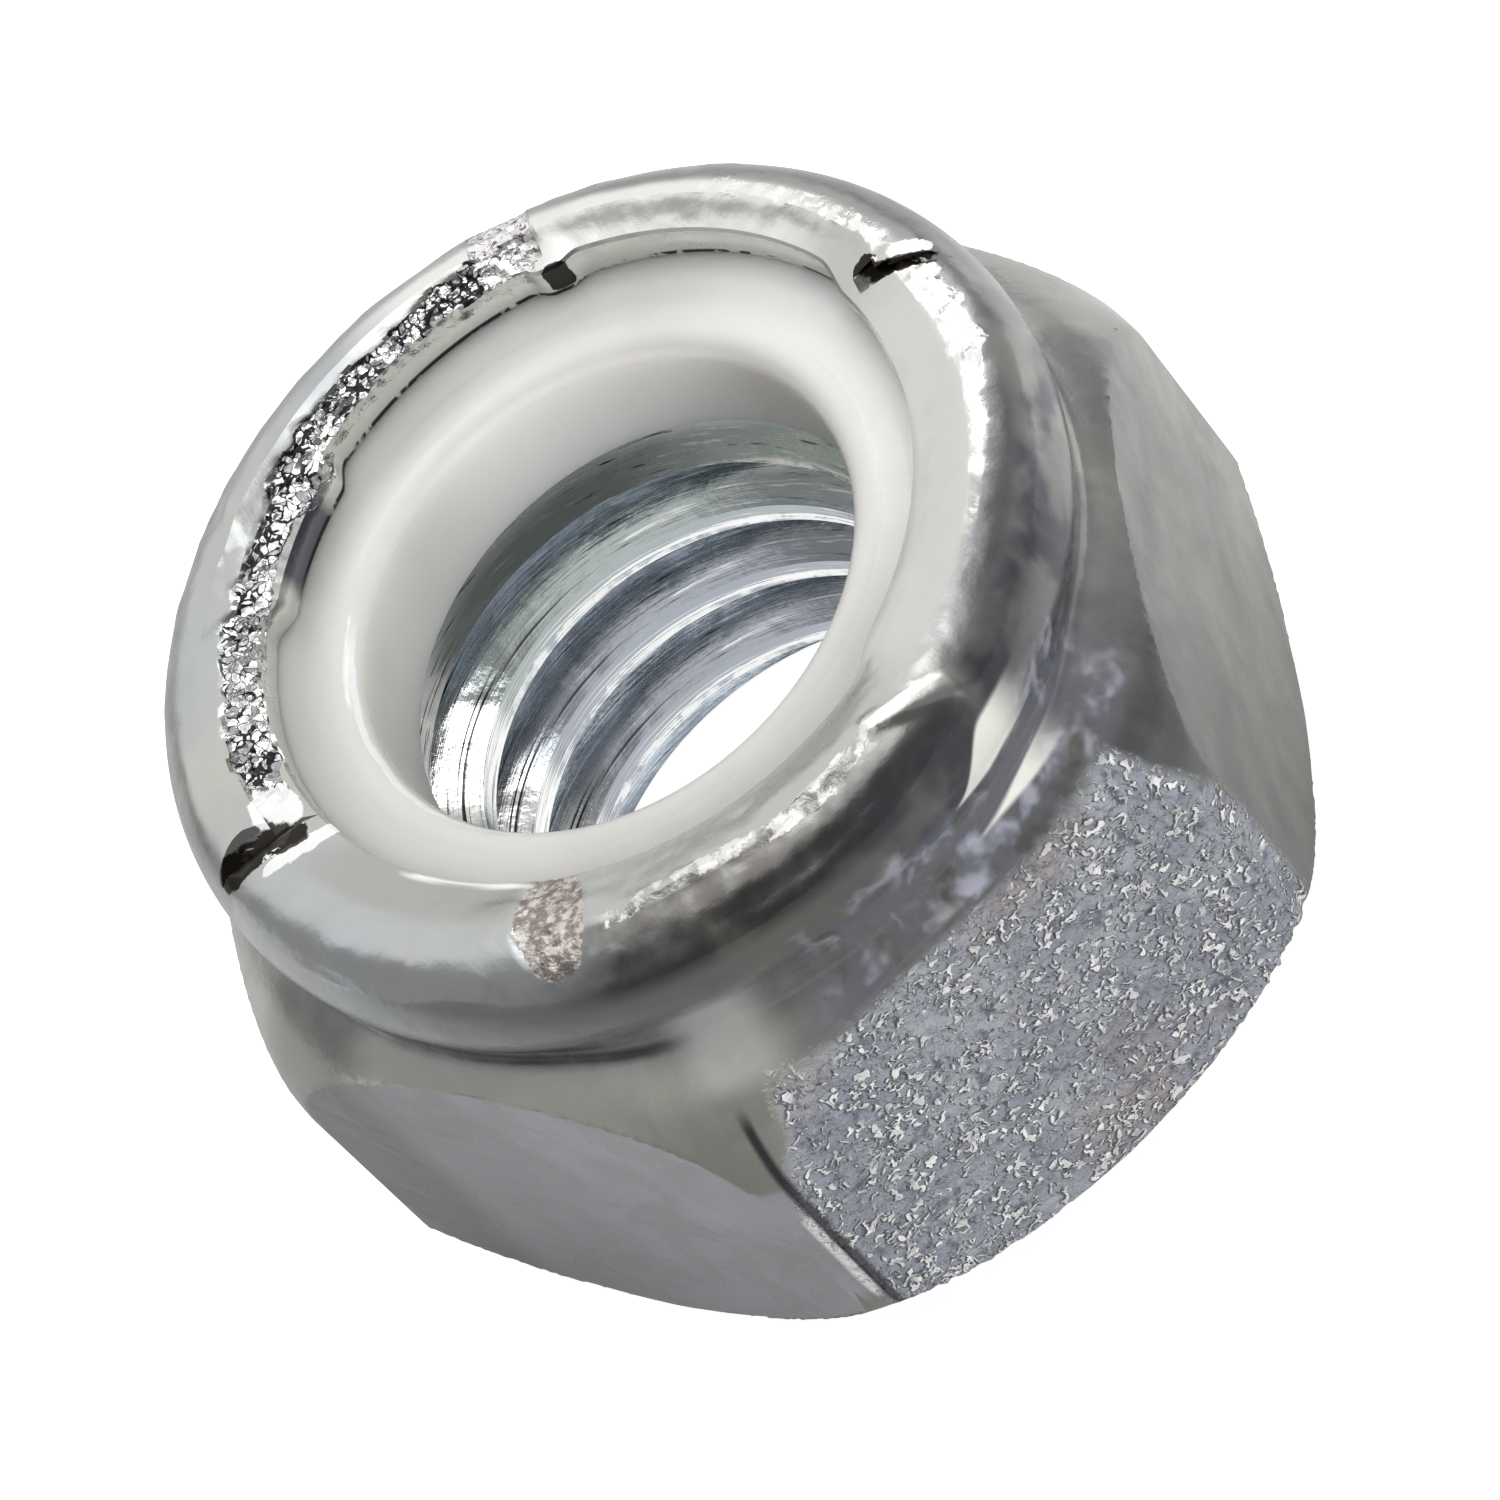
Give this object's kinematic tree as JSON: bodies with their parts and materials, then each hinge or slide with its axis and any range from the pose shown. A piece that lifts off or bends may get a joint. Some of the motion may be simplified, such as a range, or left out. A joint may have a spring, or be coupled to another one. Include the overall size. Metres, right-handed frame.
{
  "type": "nylon insert lock nut",
  "caption": "Hexagonal lock nut whose collar is crimped over a nylon ring that grips the bolt's thread.",
  "frame": {"origin": "centre of the bearing face, on the thread axis", "axes": "+Z along the thread axis from the bearing face towards the nylon insert, +X towards a corner of the hexagon"},
  "size_m": [0.0144, 0.0126, 0.0084],
  "materials": {
    "zinc_plated_steel": "bright zinc plating, satin, grainy on one flat and along the crimped lip",
    "nylon": "natural nylon, milky white and slightly translucent"
  },
  "bodies": {
    "root": {"nut_body": "zinc_plated_steel", "nylon_insert": "nylon"}
  },
  "joints": []
}
